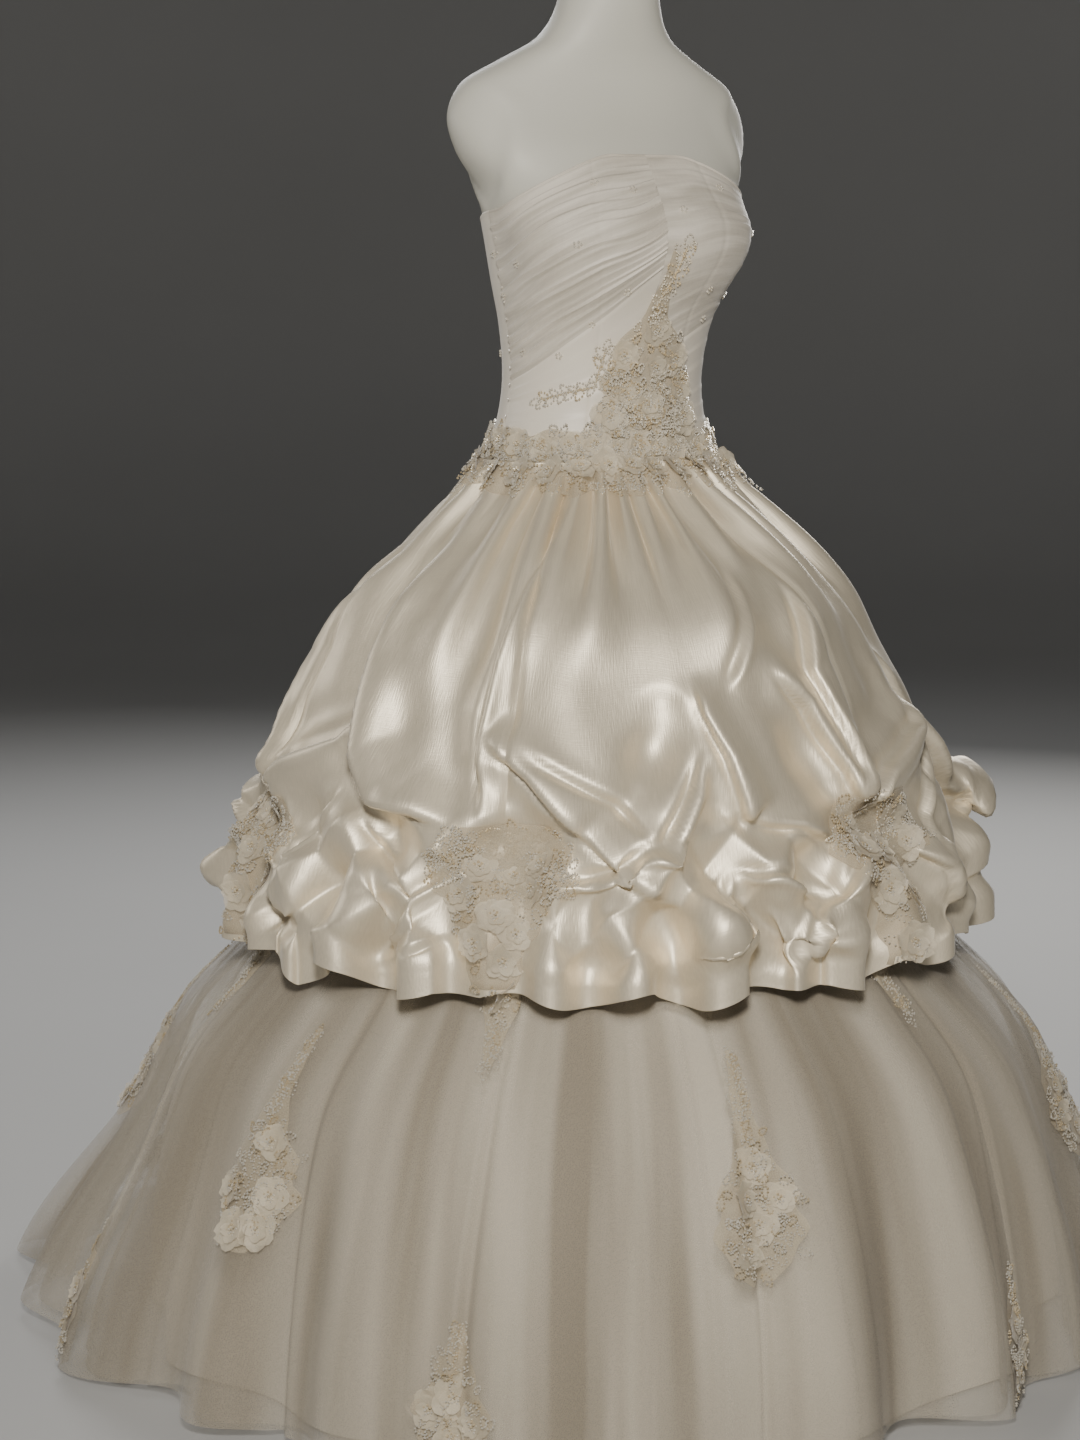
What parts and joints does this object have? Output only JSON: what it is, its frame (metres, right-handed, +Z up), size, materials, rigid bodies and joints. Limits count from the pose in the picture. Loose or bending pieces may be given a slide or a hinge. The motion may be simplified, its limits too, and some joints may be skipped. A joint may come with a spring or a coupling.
{
  "type": "wedding dress on a limbless dress form",
  "caption": "Strapless wedding ball gown with a pick-up satin overskirt, net skirt and floral lace, worn on the limbless dress form that it stands on.",
  "frame": {"origin": "middle of the dress form's base, on the floor that it stands on", "axes": "+Z up; the gown faces -Y; +X is towards the wearer's left; the train runs towards +Y"},
  "size_m": [1.2328, 1.3083, 1.476],
  "materials": {
    "skirt_satin": "ivory satin with a strong soft sheen",
    "bodice_satin": "ivory satin under organza, low sheen",
    "organza": "pleated sheer organza",
    "net": "fine sheer net",
    "lining": "plain ivory satin lining",
    "beaded_lace": "organza flowers with beads and sequins",
    "form_shell": "smooth white shell",
    "form_stand": "plain white paint"
  },
  "bodies": {
    "root": {"form_torso": "form_shell", "form_pole": "form_stand", "form_base": "form_stand", "bodice_back_right": "bodice_satin", "bodice_side_front_right": "bodice_satin", "bodice_centre_front": "bodice_satin", "bodice_side_front_left": "bodice_satin", "bodice_back_left": "bodice_satin", "bust_drape_right": "organza", "bust_drape_left": "organza", "midriff_right": "bodice_satin", "midriff_left": "bodice_satin", "front_spike": "beaded_lace", "waist_garland_front": "beaded_lace", "waist_garland_back": "beaded_lace", "satin_gore_right_back": "skirt_satin", "satin_gore_right_side": "skirt_satin", "satin_gore_right_front": "skirt_satin", "satin_gore_left_front": "skirt_satin", "satin_gore_left_side": "skirt_satin", "satin_gore_left_back": "skirt_satin", "net_skirt_right_back": "net", "net_skirt_right_front": "net", "net_skirt_left_front": "net", "net_skirt_left_back": "net", "lining_right_back": "lining", "lining_right_front": "lining", "lining_left_front": "lining", "lining_left_back": "lining", "applique_pickup_right_back": "beaded_lace", "applique_pickup_right_side": "beaded_lace", "applique_pickup_right_front": "beaded_lace", "applique_pickup_left_front": "beaded_lace", "applique_pickup_left_side": "beaded_lace", "applique_pickup_left_back": "beaded_lace", "applique_middle_right_back": "beaded_lace", "applique_middle_right_side": "beaded_lace", "applique_middle_right_front": "beaded_lace", "applique_middle_left_front": "beaded_lace", "applique_middle_left_side": "beaded_lace", "applique_middle_left_back": "beaded_lace", "applique_low_right_back": "beaded_lace", "applique_low_right_side": "beaded_lace", "applique_low_right_front": "beaded_lace", "applique_low_left_front": "beaded_lace", "applique_low_left_side": "beaded_lace", "applique_low_left_back": "beaded_lace"}
  },
  "joints": []
}
